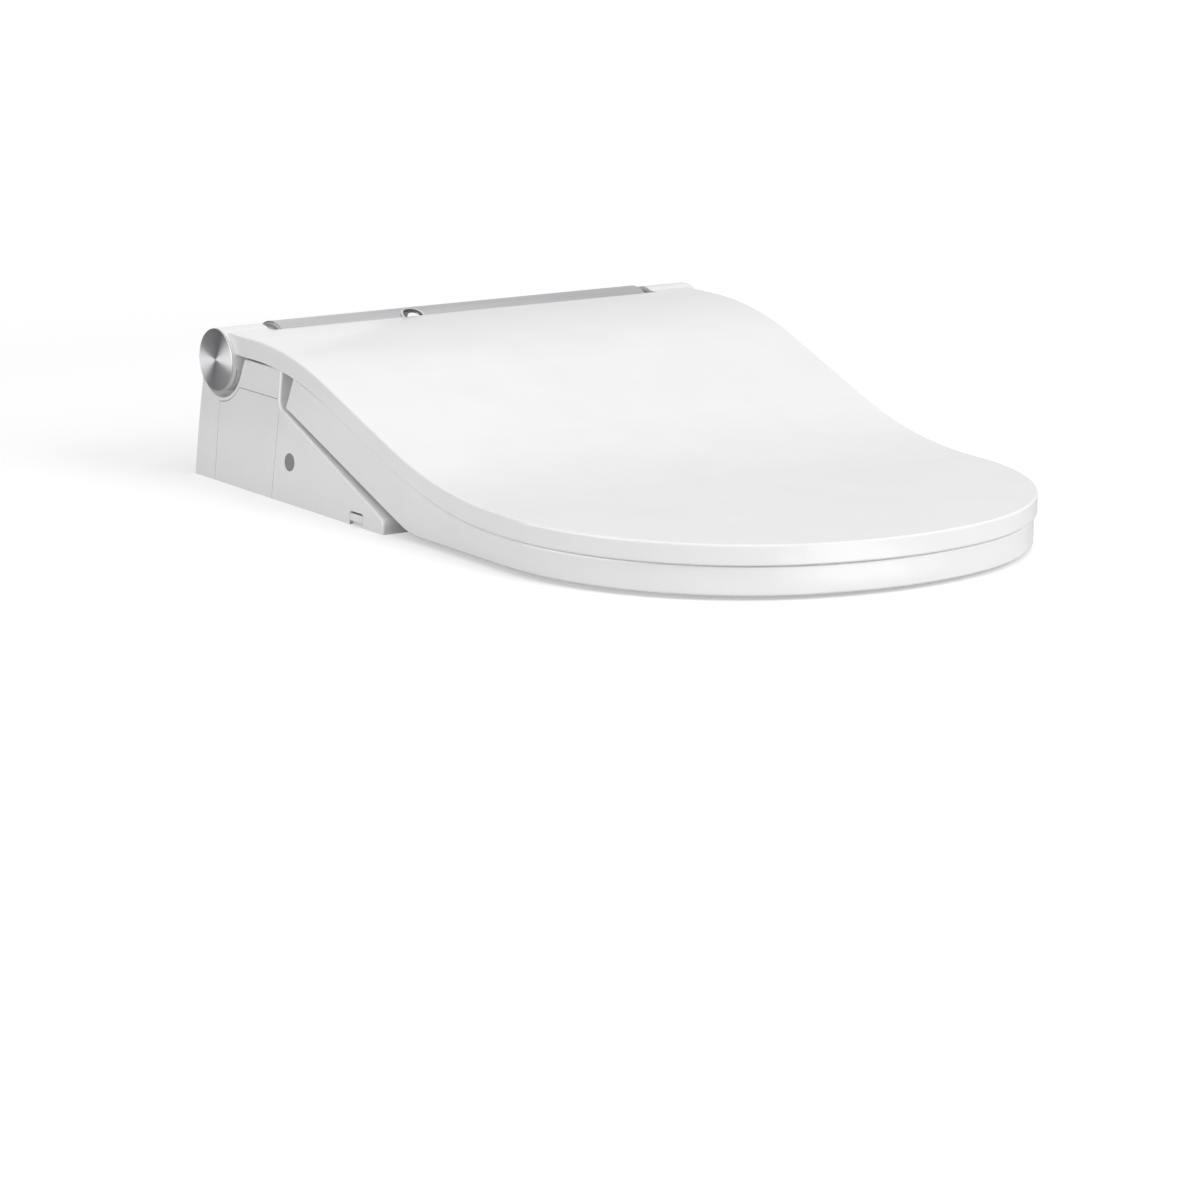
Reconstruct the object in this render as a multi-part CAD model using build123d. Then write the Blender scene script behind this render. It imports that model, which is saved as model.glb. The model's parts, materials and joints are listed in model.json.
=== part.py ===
from build123d import *
import math
import os

# Electric bidet seat, in millimetres. The origin lies midway between the two fixing slots, on the plane
# of the bowl's rim. X runs to the right as seen from the front, the front is -Y, Z is up.
# Places along the depth are given as a distance forward of the housing's back face.

# Overall size
HALF_WIDTH = 190.0
DEPTH = 533.7
SLOTS_FROM_BACK = 60.0
NOSE_SIDE_R = 166.8
NOSE_SIDE_TURN = 72.09

# Side line of the lid's top: flat, a slope, flat again
LINE_REAR_Z = 100.7
LINE_BREAK_HIGH = (111.6, 101.4)
LINE_BREAK_LOW = (290.8, 36.7)
LINE_TIP_Z = 35.7
LINE_BEND_HIGH = 250.0
LINE_BEND_LOW = 350.0

# Hinge
HINGE_B = 25.6
HINGE_Z = 81.4
SHAFT_R = 6.0
RUNNING_GAP = 0.05
ARM_INNER = 157.0
ARM_SKIN = 3.0
HUB_INNER = 174.5
HUB_R = 21.2
HUB_END = 192.0
CAP_R = 21.0
CAP_THICK = 1.0
CAP_EDGE_R = 0.5
CAP_SPIGOT_R = 12.0
CAP_SPIGOT = 2.0
HUB_GROOVE = (188.4, 189.4)
HUB_GROOVE_DEEP = 1.5
ARCH_BELOW_AXIS = 2.0
SHAFT_SPAN = (122.0, 186.0)

# Lid
LID_SIDE = 13.6
LID_WALL = 3.0
LID_EDGE_R = 1.4
LID_LOW_R = 1.4
LID_REAR_GAP_R = 24.8
LID_RIB = 1.6
LID_RIB_DEEP = 5.0
LID_RIBS = (190.0, 260.0, 400.0)
LID_BUFFERS = [(150.0, 310.0), (62.0, 497.0)]
BUFFER_R = 5.0
BUFFER_GAP = 0.3

# Seat
SEAT_DROP = 13.95
SEAT_INSET = 1.8
SEAT_WALL = 3.0
SEAT_RIM_WALL = 6.0
SEAT_PLATE = 2.5
SEAT_PLATE_UP = 0.6
SEAT_EDGE_R = 1.5
SEAT_LOW_R = 1.8
SEAT_REAR = [(73.6, -20.0), (131.0, 120.0)]
SEAT_UNDER = [(131.0, 120.0), (106.0, 60.8), (254.5, 3.7), (545.0, 2.7)]
SEAT_UNDER_BENDS = [0.0, 60.0]
SEAT_ARM_SIDE = [(25.6, 88.0), (60.0, 84.4), (104.0, 83.0), (118.0, 80.0), (109.0, 62.0), (104.0, 60.6),
                 (60.0, 62.0), (25.6, 67.0)]
SEAT_HOLE_B = 336.0
SEAT_HOLE_HALF = (103.0, 136.0)
SEAT_LIP_R = 9.0
SEAT_ARM = (157.8, 173.4)
SEAT_KNUCKLE_R = 17.5
SEAT_BUFFERS = [(146.0, 312.0, 90.0), (118.0, 440.0, 52.0)]
SEAT_BUFFER_SIZE = (46.0, 14.0)
FOIL = 0.6
FOIL_FROM_B = 205.0

# Housing
HOUSE_HALF = 193.0
HOUSE_DRAFT = 3.6
HOUSE_WALL = 2.5
HOUSE_CORNER = 3.0
HOUSE_BACK_B = -1.0
HOUSE_TOP = 85.8
BOX_FRONT_B = 99.5
WEDGE_TOP_Z = 61.4
WEDGE_END_B = 231.0
WEDGE_END_Z = 9.2
WEDGE_NOSE_R = 5.0
WEDGE_HEEL_R = 7.0
HOUSE_TOP_R = 2.0
HOUSE_EDGE_R = 1.6
BARREL_R = 21.4
BARREL_END = 154.0
BARREL_STEP = 149.4
BARREL_STEP_R = 18.6
POCKET_R = 25.5
POCKET_LEAN = 18.0
CHANNEL = 175.6
CHANNEL_FLOOR = 56.5
BOWL_B = 330.0
BOWL_HALF = (140.0, 160.0)
SEAM = 0.4
PANEL_TOP = 66.0
PANEL_REAR_B = 25.6
PANEL_FRONT_B = 99.4
REAR_COVER_HALF = 140.0
REAR_COVER_Z = (10.0, 66.0)
WINDOW_AT = (116.0, 27.4)
WINDOW_R = 5.9
BUTTON_B = (192.0, 206.5)
BUTTON_Z = (2.9, 7.6)
BUTTON_SLIT = 1.4
PANEL_SADDLE_R = 28.2

# Trim strip and presence sensor
STRIP_END = 149.0
STRIP_THICK = 1.0
STRIP_ARC = (35.0, 150.0)
SENSOR_X = -44.0
SENSOR_R = 8.8
SENSOR_TURN = 58.0
SENSOR_PROUD_R = 23.4
SENSOR_LENS_R = 7.3
SENSOR_LENS_PROUD_R = 22.0
SENSOR_COVER_R = 5.0
SENSOR_COVER_PROUD_R = 23.0
SENSOR_COVER_LOWER = 2.2

# Floor, base plate and its slots
FLOOR = (6.0, 8.5)
PLATE_TOP = 6.0
PLATE_HALF = (112.0, 36.0)
SLOT_SPACING = 155.0
SLOT_R = 5.5
SLOT_LENGTH = 27.0

# Spray wand
WAND_SLOPE = 23.0
WAND_R = 8.0
WAND_BORE_R = 6.4
WAND_LENGTH = 128.0
WAND_FRONT_B = 168.0
WAND_FRONT_Z = 11.0
WAND_TIP = 16.0
WAND_TIP_EDGE_R = 2.5
WAND_PLUG = 3.0
WAND_JETS = (-6.0, -11.0)
WAND_JET_R = 0.9
WAND_JET_DEEP = 6.0
WAND_ROOM = 0.3
GUIDE_R = 10.4
GUIDE_SPAN = (-124.0, -34.0)
GUIDE_FOOT_X = (-6.0, 6.0)
GUIDE_FOOT_B = (92.0, 118.0)
GUIDE_FOOT_TOP = 40.0
GUIDE_BRACKET_X = (-13.0, -5.0)
GUIDE_BRACKET_B = (72.0, 92.0)
GUIDE_BRACKET_Z = (38.0, 60.0)

# Inlet, gland and the mouths in the front wall, as (across, up)
INLET_AT = (-120.0, 26.0)
INLET_R = 10.4
INLET_RECESS_R = 17.0
GLAND_AT = (120.0, 20.0)
GLAND_R = 7.0
DRYER_MOUTH = ((22.0, 50.0), (11.0, 22.5))
ODOUR_MOUTH = ((56.0, 70.0), (11.0, 19.0))
FLAP_GAP = 1.6
FLAP_THICK = 1.6
FLAP_PIN_R = 1.2
FLAP_PIVOT_Z = 25.2
FLAP_EAR = 2.0
FLAP_EAR_SIZE = (4.6, 3.8)
FLAP_EAR_SHIFT = -0.2
FLAP_ROOM = 0.4
CARTRIDGE_B = (30.0, 62.0)
CARTRIDGE_Z = (11.0, 29.0)
BLADES = 16

# Blowers: walls, wheel and motor, as sizes and shares of the scroll's radius
SCROLL_WALL = 2.0
SCROLL_MOUTH = 18.0
SCROLL_NOSE = 6.0
SCROLL_FOOT_HALF = 8.0
BLOWER_EYE = 0.55
BLADE_ROOT = 0.5
BLADE_HALF = 0.6
WHEEL_GAP = 5.0
WHEEL_DISC = 1.5
WHEEL_SET_BACK = 4.5
BLOWER_AXLE_R = 3.0
BLOWER_AXLE_ROOM = 0.1
BLOWER_MOTOR = 0.6
BLOWER_MOTOR_LONG = 14.0
DRYER_BLOWER = (66.0, 32.0, 23.0)
ODOUR_BLOWER = (112.0, 24.0, 15.0)
ODOUR_BLOWER_X = (72.0, 96.0)
DUCT_WALL = 1.5
DRYER_DUCT_END_B = 170.0
DRYER_COIL_B = 118.0
DRYER_COIL_PITCH = 6.0
DRYER_COIL_ROWS = 5
DRYER_COIL_WIRE = 1.2
DRYER_COIL_GAP = 2.0
ODOUR_DUCT_B = (100.0, 205.0)
ODOUR_DUCT_BOX = (26.0, 35.0)
DUCT_FLOOR = 2.0

# Filter cartridge and its tray
CARTRIDGE_INNER = 118.0
CARTRIDGE_SLOT = (6.0, 10.0)
CARTRIDGE_SLOTS = 5
CARTRIDGE_FRAME = 3.0
CARTRIDGE_GRIP = (5.0, 6.0)
CARTRIDGE_GRIP_Z = (3.0, 7.0)
CARTRIDGE_ROOM = 0.4
TRAY_WALL = 2.0
TRAY_OUTER = 186.0

# Water side on the floor: spans across, forward and up
INLET_BORE_R = 7.0
INLET_FLANGE_R = 13.0
INLET_B = (1.0, 14.0)
INLET_FLANGE_B = 17.0
INLET_BORE_END_B = 12.0
VALVE_HALF = 13.0
VALVE_B = (17.0, 44.0)
VALVE_COIL_R = 11.0
VALVE_COIL_B = 31.0
VALVE_COIL_HIGH = 23.0
HEATER_X = (-100.0, -30.0)
HEATER_B = (10.0, 42.0)
HEATER_TOP = 48.0
HEATER_CORNER = 6.0
HEATER_PORTS = (-40.0, -90.0)
PORT_R = 5.0
PORT_HIGH = 6.0
PUMP_X = (-148.0, -112.0)
PUMP_B = (60.0, 92.0)
PUMP_TOP = 26.0
PUMP_CAN_R = 12.0
PUMP_CAN_Z = 36.0
SELECTOR_AT = (-60.0, 112.0)
SELECTOR_R = 15.0
SELECTOR_TOP = 32.0
SELECTOR_MOTOR_R = 9.0
SELECTOR_MOTOR_TOP = 42.0
SELECTOR_SPOUT_R = 3.0
SELECTOR_SPOUT_X = (-47.0, -36.0)
SELECTOR_SPOUT_Z = 20.0

# Motors of the hinge and the wand: radii and spans across
GEARBOX_R = 15.5
GEARBOX_X = 92.0
HINGE_MOTOR_R = 12.0
HINGE_MOTOR_X = 46.0
HINGE_TAIL_R = 3.0
HINGE_TAIL_X = 40.0
WAND_MOTOR_AT = (82.0, 49.0)
WAND_MOTOR_R = 12.0
WAND_MOTOR_X = (-31.0, -13.0)
WAND_MOTOR_CAP_R = 9.0
WAND_MOTOR_CAP_X = -36.0

# Boards and gland
CONTROL_X = (-148.0, -42.0)
CONTROL_B = 95.0
CONTROL_TOP = 50.0
CONTROL_RELAY = ((-130.0, -112.0), (20.0, 38.0))
CONTROL_CHIP = ((-90.0, -70.0), (15.0, 25.0))
RELAY_DEEP = 3.0
CHIP_DEEP = 2.0
POWER_X = (58.0, 148.0)
POWER_B = 88.0
POWER_TOP = 60.0
POWER_COIL = ((98.0, 120.0), (14.0, 40.0))
POWER_CAPACITOR = ((126.0, 146.0), (14.0, 34.0))
COIL_DEEP = 18.0
CAPACITOR_DEEP = 14.0
BOARD_THICK = 1.6
GLAND_B = (-1.0, 8.0)
GLAND_COLLAR = 2.5
GLAND_COLLAR_B = 4.0
GLAND_BORE_R = 3.6

os.makedirs("parts", exist_ok=True)
NODES = {}


def cos(turn):
    """Cosine of an angle in degrees."""
    return math.cos(math.radians(turn))


def sin(turn):
    """Sine of an angle in degrees."""
    return math.sin(math.radians(turn))


def fore(b):
    """Y of a place b forward of the back face."""
    return SLOTS_FROM_BACK - b


def side(points):
    """Side-view points (forward, up) as (y, z)."""
    return [(fore(b), z) for b, z in points]


def side_prism(face, x_low, x_high):
    """Solid with a side-view outline, between two places across the width."""
    return Pos(x_low, 0, 0) * extrude(Plane.YZ * face, x_high - x_low)


def side_poly(points, x_low, x_high):
    """Side prism over a plain polygon."""
    return side_prism(make_face(Polyline(*side(points), close=True)), x_low, x_high)


def box(x, b, z):
    """Box between pairs of places: across, forward of the back face, and up."""
    size = (x[1] - x[0], b[1] - b[0], z[1] - z[0])
    middle = (sum(x) / 2, fore(sum(b) / 2), sum(z) / 2)
    return Pos(*middle) * Box(*size)


def rod_x(r, x_low, x_high, b=HINGE_B, z=HINGE_Z):
    """Round bar across the width, on the hinge axis unless told otherwise."""
    turned = Pos((x_low + x_high) / 2, fore(b), z) * Rot(0, 90, 0)
    return turned * Cylinder(r, x_high - x_low)


def rod_z(r, x, b, z_low, z_high):
    """Upright round bar."""
    return Pos(x, fore(b), (z_low + z_high) / 2) * Cylinder(r, z_high - z_low)


def both_sides(part):
    """The part and its mirror image."""
    return part + mirror(part, about=Plane.YZ)


def add(name, part):
    """Keep a finished node."""
    NODES[name] = part


def nose_point(centre, r, turn):
    """Point of the rounded front, seen from above: turn counts from +X towards the front."""
    return (centre[0] + r * cos(turn), fore(centre[1] + r * sin(turn)))


def plan_prism(inset):
    """Upright prism over the outline of lid and seat, seen from above: straight sides, three front arcs."""
    tip_r = (HALF_WIDTH - NOSE_SIDE_R) / cos(NOSE_SIDE_TURN) + NOSE_SIDE_R
    tip_centre = (0, DEPTH - tip_r)
    straight_to = tip_centre[1] + (tip_r - NOSE_SIDE_R) * sin(NOSE_SIDE_TURN)
    outline = []
    half = HALF_WIDTH - inset
    for hand in (1, -1):
        centre = (hand * (HALF_WIDTH - NOSE_SIDE_R), straight_to)
        first = 0 if hand > 0 else 180
        turns = [first + hand * share * NOSE_SIDE_TURN for share in (0, 0.5, 1)]
        outline.append(ThreePointArc(*[nose_point(centre, NOSE_SIDE_R - inset, turn) for turn in turns]))
    ends = (NOSE_SIDE_TURN, 90, 180 - NOSE_SIDE_TURN)
    outline.append(ThreePointArc(*[nose_point(tip_centre, tip_r - inset, turn) for turn in ends]))
    rear = [(-half, fore(straight_to)), (-half, fore(0)), (half, fore(0)), (half, fore(straight_to))]
    outline.append(Polyline(*rear))
    return Pos(0, 0, -20) * extrude(make_face(outline), 160)


def top_line(drop):
    """Side line of the lid's top, lowered by drop."""
    corners = [(0.0, LINE_REAR_Z), LINE_BREAK_HIGH, LINE_BREAK_LOW, (DEPTH + 6, LINE_TIP_Z)]
    lowered = [(b, z - drop) for b, z in corners]
    return FilletPolyline(*side(lowered), radius=[LINE_BEND_HIGH, LINE_BEND_LOW])


def slab(drop_top, drop_low):
    """Layer between two lowered copies of the lid's side line."""
    high = top_line(drop_top)
    low = top_line(drop_low)
    face = make_face([high, Line(high @ 1, low @ 1), low, Line(low @ 0, high @ 0)])
    return side_prism(face, -HALF_WIDTH - 10, HALF_WIDTH + 10)


def over_seat_underside(lift):
    """Everything above the seat's lower line and in front of its rear end, raised by lift."""
    line = FilletPolyline(*side([(b, z + lift) for b, z in SEAT_UNDER]), radius=SEAT_UNDER_BENDS)
    top_front = (fore(SEAT_UNDER[-1][0]), SEAT_UNDER[0][1] + lift)
    face = make_face([line, Polyline(line @ 1, top_front, line @ 0)])
    return side_prism(face, -HALF_WIDTH - 10, HALF_WIDTH + 10)


def oval_prism(centre_b, half, grow, z_low, z_high):
    """Upright oval prism, for the seat's opening and the bowl's opening."""
    face = Ellipse(half[0] + grow, half[1] + grow)
    return Pos(0, fore(centre_b), z_low) * extrude(face, z_high - z_low)


def rim_edges(form, up):
    """Edges of the upper or lower rim of a form, without the cross lines of its smooth faces."""
    solid = form.solid()
    rim = []
    for edge in form.edges():
        middle = edge @ 0.5
        along = edge % 0.5
        crosswise = edge.geom_type == GeomType.LINE and abs(along.X) > 0.9
        if crosswise or abs(along.Z) > 0.9:
            continue
        inward = (Vector(0, fore(300), middle.Z) - middle).normalized() * 0.5
        if solid.is_inside(middle + inward + Vector(0, 0, -0.5 if up else 0.5)):
            rim.append(edge)
    return rim


def lid():
    """One moulded shell with its two arms, hubs and stiffening ribs."""
    form = slab(0, LID_SIDE) & plan_prism(0)
    outer = fillet(rim_edges(form, up=True), LID_EDGE_R)
    outer = fillet(rim_edges(outer, up=False), LID_LOW_R)
    hollow = slab(LID_WALL, LID_SIDE + 8) & plan_prism(LID_WALL)
    hollow -= box((-250, 250), (-30, HINGE_B + HUB_R), (0, 150))
    hollow -= rod_x(LID_REAR_GAP_R + LID_WALL, -250, 250)
    shell = outer - hollow
    shell -= box((-250, 250), (-30, HINGE_B), (0, 150))
    shell -= rod_x(LID_REAR_GAP_R, -ARM_INNER, ARM_INNER)
    shell -= box((-ARM_INNER, ARM_INNER), (0, HINGE_B + LID_REAR_GAP_R * 0.6), (0, 150))
    seat_room = rod_x(HUB_R - ARM_SKIN, ARM_INNER - 5, HUB_INNER)
    seat_room += box((ARM_INNER - 5, HUB_INNER), (HINGE_B, HINGE_B + 30), (50, LINE_REAR_Z - LID_WALL))
    shell -= both_sides(seat_room)
    arch = rod_x(HUB_R, ARM_INNER, HALF_WIDTH) - rod_x(HUB_R - ARM_SKIN, 100, HUB_INNER)
    arch -= box((100, 250), (-50, 120), (0, HINGE_Z - ARCH_BELOW_AXIS))
    arch -= box((100, HUB_INNER), (HINGE_B, 120), (0, LINE_REAR_Z - LID_SIDE))
    shell += both_sides(arch + rod_x(HUB_R, HUB_INNER, HUB_END))
    shell -= both_sides(rod_x(CAP_SPIGOT_R + RUNNING_GAP, HUB_END - CAP_SPIGOT - BUFFER_GAP, HUB_END))
    groove = rod_x(HUB_R + 1, *HUB_GROOVE) - rod_x(HUB_R - HUB_GROOVE_DEEP, *HUB_GROOVE)
    shell -= both_sides(groove & box((100, 250), (-50, 100), (0, HINGE_Z - 4)))
    for hand, r in ((-1, SHAFT_R), (1, SHAFT_R + RUNNING_GAP)):
        ends = sorted((hand * (HUB_INNER - 1), hand * (HALF_WIDTH - 3)))
        shell -= rod_x(r, *ends)
    ribs = Part()
    for b in LID_RIBS:
        ribs += box((-170, 170), (b, b + LID_RIB), (0, 120))
    layer = slab(LID_WALL, LID_WALL + LID_RIB_DEEP) & plan_prism(LID_WALL)
    return shell + (layer & ribs)


def lid_buffers():
    """Rubber buffers under the lid."""
    pads = Part()
    for x, b in LID_BUFFERS:
        pads += both_sides(rod_z(BUFFER_R, x, b, 0, 120))
    return pads & slab(LID_WALL, SEAT_DROP - BUFFER_GAP)


def hinge_cap(hand):
    """Round metal cap on the end of the hinge, with a spigot that sits in the lid's hub."""
    disc = rod_x(CAP_R, HUB_END, HUB_END + CAP_THICK)
    disc = fillet(disc.edges().group_by(Axis.X)[-1], CAP_EDGE_R)
    cap = disc + rod_x(CAP_SPIGOT_R, HUB_END - CAP_SPIGOT, HUB_END)
    return cap if hand > 0 else mirror(cap, about=Plane.YZ)


def seat_ahead(by):
    """Everything in front of the seat's slanting rear end, moved forward."""
    low, high = SEAT_REAR
    far = DEPTH + 30
    return side_poly([(low[0] + by, low[1]), (high[0] + by, high[1]), (far, high[1]), (far, low[1])],
                     -HALF_WIDTH, HALF_WIDTH)


def seat_cavity():
    """Hollow inside the seat, open below."""
    room = slab(SEAT_DROP + SEAT_WALL, 150) & plan_prism(SEAT_INSET + SEAT_RIM_WALL) & seat_ahead(SEAT_WALL)
    return room - oval_prism(SEAT_HOLE_B, SEAT_HOLE_HALF, 2 * SEAT_WALL, -30, 130)


def seat_upper():
    """Seat ring with its contoured inner edge and its two hinge arms."""
    form = slab(SEAT_DROP, 150) & over_seat_underside(0) & plan_prism(SEAT_INSET)
    form = fillet(rim_edges(form, up=True), SEAT_EDGE_R)
    form = fillet(rim_edges(form, up=False), SEAT_LOW_R)
    ring = form - oval_prism(SEAT_HOLE_B, SEAT_HOLE_HALF, 0, -30, 130)
    ring = fillet(inner_lip(ring), SEAT_LIP_R)
    shell = ring - seat_cavity()
    arm = rod_x(SEAT_KNUCKLE_R, *SEAT_ARM) + side_poly(SEAT_ARM_SIDE, *SEAT_ARM)
    shell += both_sides(arm)
    for hand, r in ((-1, SHAFT_R + RUNNING_GAP), (1, SHAFT_R)):
        ends = sorted((hand * (SEAT_ARM[0] - 1), hand * (SEAT_ARM[1] + 1)))
        shell -= rod_x(r, *ends)
    return shell


def inner_lip(ring):
    """Upper edge of the seat's opening."""
    lip = []
    for edge in ring.edges():
        middle = edge @ 0.5
        x, y = middle.X / SEAT_HOLE_HALF[0], (middle.Y - fore(SEAT_HOLE_B)) / SEAT_HOLE_HALF[1]
        on_oval = abs(math.hypot(x, y) - 1) < 0.003 and abs((edge % 0.5).Z) < 0.9
        if on_oval and not ring.solid().is_inside(middle + Vector(2 * x, 2 * y, 1.5)):
            lip.append(edge)
    return lip


def seat_lower():
    """Plate that closes the seat from below."""
    plate = seat_cavity() & over_seat_underside(SEAT_PLATE_UP)
    return plate - over_seat_underside(SEAT_PLATE_UP + SEAT_PLATE)


def seat_heater():
    """Heating foil on the inside of the seat's top."""
    foil = seat_cavity() & slab(SEAT_DROP + SEAT_WALL, SEAT_DROP + SEAT_WALL + FOIL)
    return foil & box((-250, 250), (FOIL_FROM_B, DEPTH), (-20, 120))


def seat_buffers():
    """Rubber feet under the seat, from its plate down to the rim."""
    feet = Part()
    for x, b, turn in SEAT_BUFFERS:
        foot = Pos(x, fore(b), 0) * Rot(0, 0, turn) * extrude(SlotOverall(*SEAT_BUFFER_SIZE), 20)
        feet += both_sides(foot)
    return feet - over_seat_underside(SEAT_PLATE_UP)


def shaft(hand):
    """Hinge shaft of one side."""
    return rod_x(SHAFT_R, *sorted((hand * SHAFT_SPAN[0], hand * SHAFT_SPAN[1])))


def house_block(inset):
    """Drafted block round the housing, longer than the housing at the front."""
    deep = 10
    spread = deep * math.tan(math.radians(HOUSE_DRAFT))
    half = HOUSE_HALF - inset + spread
    back, front = HOUSE_BACK_B + inset - spread, 300
    face = Pos(0, fore((back + front) / 2)) * Rectangle(2 * half, front - back)
    face = fillet(face.vertices().group_by(Axis.Y)[-1], HOUSE_CORNER)
    return Pos(0, 0, -deep) * extrude(face, 130, taper=HOUSE_DRAFT)


def house_side(inset, bottom):
    """Side outline of the housing: box with the hinge at the rear, wedge in front."""
    corners = [(-40, bottom), (WEDGE_END_B - inset, bottom), (WEDGE_END_B - inset, WEDGE_END_Z - inset),
               (BOX_FRONT_B - inset, WEDGE_TOP_Z - inset), (BOX_FRONT_B - inset, HOUSE_TOP - inset),
               (HINGE_B, HOUSE_TOP - inset), (HINGE_B, HINGE_Z), (-40, HINGE_Z)]
    radii = [0, 0, WEDGE_NOSE_R, WEDGE_HEEL_R, HOUSE_TOP_R, 0, 0, 0]
    line = FilletPolyline(*side(corners), radius=radii, close=True)
    return side_prism(make_face(line), -260, 260)


def hinge_pocket(grow):
    """Room for the hinge arms of lid and seat, left and right."""
    r = POCKET_R + grow
    lean = POCKET_LEAN
    foot = (HINGE_B + r * cos(lean), HINGE_Z - r * sin(lean))
    rise = 130 - foot[1]
    head = (foot[0] + rise * math.tan(math.radians(lean)), 130)
    inner = BARREL_END - grow
    pocket = rod_x(r, inner, 260)
    pocket += side_poly([(-40, HINGE_Z), (HINGE_B, HINGE_Z), foot, head, (-40, 130)], inner, 260)
    pocket += box((inner, CHANNEL + grow), (HINGE_B, BOX_FRONT_B + 30), (CHANNEL_FLOOR - grow, 130))
    return both_sides(pocket)


def house_rim(form):
    """Outer edges of the housing's side outline, from the wedge's end up to the box."""
    rim = []
    for edge in form.edges():
        middle = edge @ 0.5
        if abs(middle.X) > CHANNEL and middle.Z > 1 and middle.Y < fore(HINGE_B):
            rim.append(edge)
    return rim


def house_form(inset, bottom):
    """Housing as a closed form, drawn in by inset."""
    form = house_block(inset) & house_side(inset, bottom)
    if not inset:
        form = fillet(house_rim(form), HOUSE_EDGE_R)
    for r, end in ((BARREL_R, BARREL_STEP), (BARREL_STEP_R, BARREL_END)):
        form += rod_x(r - inset, inset - end, end - inset)
    form -= hinge_pocket(inset)
    return form - oval_prism(BOWL_B, BOWL_HALF, inset, -30, 130)


def wand_plane():
    """Plane at the front of the spray wand, looking along its travel."""
    way = (0, -cos(WAND_SLOPE), -sin(WAND_SLOPE))
    return Plane(origin=(0, fore(WAND_FRONT_B), WAND_FRONT_Z), x_dir=(1, 0, 0), z_dir=way)


def wand_bar(r, low, high):
    """Round bar on the wand's axis, measured back from its front."""
    return wand_plane() * Pos(0, 0, (low + high) / 2) * Cylinder(r, high - low)


def panel_region(hand, grow):
    """Region of a side panel on the housing's wall."""
    line = [(PANEL_REAR_B - grow, -5), (PANEL_FRONT_B + grow - 3, -5), (PANEL_FRONT_B + grow, 60),
            (PANEL_FRONT_B - 3, PANEL_TOP + grow), (PANEL_REAR_B - grow, PANEL_TOP + grow)]
    inner, outer = CHANNEL + HOUSE_WALL + 0.8, 210
    region = side_poly(line, inner, outer) - rod_x(PANEL_SADDLE_R - grow, inner - 1, outer + 1)
    return region if hand > 0 else mirror(region, about=Plane.YZ)


def rear_region(grow):
    """Region of the rear cover on the housing's back wall."""
    half = REAR_COVER_HALF + grow
    return box((-half, half), (-20, 14), (REAR_COVER_Z[0] - grow, REAR_COVER_Z[1] + grow))


def window_bar(grow):
    """Bar through the place of the round window in the left wall."""
    return rod_x(WINDOW_R + grow, -210, -180, *WINDOW_AT)


def button_bar(grow):
    """Bar through the place of the release button in the left wall."""
    b, z = BUTTON_B, BUTTON_Z
    return box((-210, -180), (b[0] - grow, b[1] + grow), (z[0] - grow, z[1] + grow))


def sensor_disc(r, proud_r, lower=0.0):
    """Round piece of the presence sensor, square to the barrel's surface, up to a radius about the hinge."""
    way = (0, -cos(SENSOR_TURN), sin(SENSOR_TURN))
    across = Plane(origin=(SENSOR_X, fore(HINGE_B), HINGE_Z), x_dir=(1, 0, 0), z_dir=way)
    bar = across * Pos(0, -lower, BARREL_R) * Cylinder(r, 30)
    return (bar & rod_x(proud_r, -100, 100)) - rod_x(BARREL_R, -100, 100)


def trim_strip():
    """Metal strip bent round the upper side of the hinge barrel."""
    strip = rod_x(BARREL_R + STRIP_THICK, -STRIP_END, STRIP_END) - rod_x(BARREL_R, -STRIP_END, STRIP_END)
    far = 60
    low, high = [(HINGE_B + far * cos(turn), HINGE_Z + far * sin(turn)) for turn in STRIP_ARC]
    strip &= side_poly([(HINGE_B, HINGE_Z), low, (low[0], 150), (high[0], 150), high], -200, 200)
    return strip - sensor_disc(SENSOR_R, SENSOR_PROUD_R)


def housing():
    """Upper cover, side panels, rear cover, floor and the flush pieces of the walls."""
    inner = house_form(HOUSE_WALL, -30)
    shell = house_form(0, 0) - inner
    for hand in (-1, 1):
        shell -= rod_x(SHAFT_R + RUNNING_GAP, *sorted((hand * 140, hand * 160)))
    shell -= wand_bar(WAND_R + 1.6, -30, 30)
    for x, z in (DRYER_MOUTH, ODOUR_MOUTH):
        shell -= box(x, (150, 200), z)
    inlet = rod_y(INLET_RECESS_R, INLET_AT, -20, 14)
    gland = rod_y(GLAND_R, GLAND_AT, -20, 14)
    cartridge = box((150, 210), CARTRIDGE_B, CARTRIDGE_Z)
    add("side_panel_left", shell & panel_region(-1, 0))
    add("side_panel_right", (shell & panel_region(1, 0)) - grown_box(cartridge, SEAM))
    add("rear_cover", (shell & rear_region(0)) - inlet - gland)
    add("receiver_window", shell & window_bar(0))
    button = (shell & button_bar(0)) + box((-191, -183), (BUTTON_B[0] + 1, BUTTON_B[1] - 1), BUTTON_Z)
    add("release_button", button)
    cover = shell - panel_region(-1, SEAM) - panel_region(1, SEAM) - rear_region(SEAM)
    cover -= window_bar(0.1)
    cover -= button_bar(SEAM) + box((-210, -180), BUTTON_B, (-5, BUTTON_Z[1] + BUTTON_SLIT))
    add("upper_cover", cover + flap_ears())
    floor = inner & box((-260, 260), (-20, 300), FLOOR)
    floor -= wand_bar(WAND_R + 3.5, -60, 30)
    floor -= box((-195, -178), (BUTTON_B[0] - 4, BUTTON_B[1] + 4), (0, 20))
    floor -= both_sides(rod_z(SLOT_LENGTH / 2 + 5, SLOT_SPACING / 2, SLOTS_FROM_BACK, 0, 20))
    add("bottom_case", floor)


def rod_y(r, at, b_low, b_high):
    """Round bar along the depth, at (x, z)."""
    return Pos(at[0], fore((b_low + b_high) / 2), at[1]) * Rot(90, 0, 0) * Cylinder(r, b_high - b_low)


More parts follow.
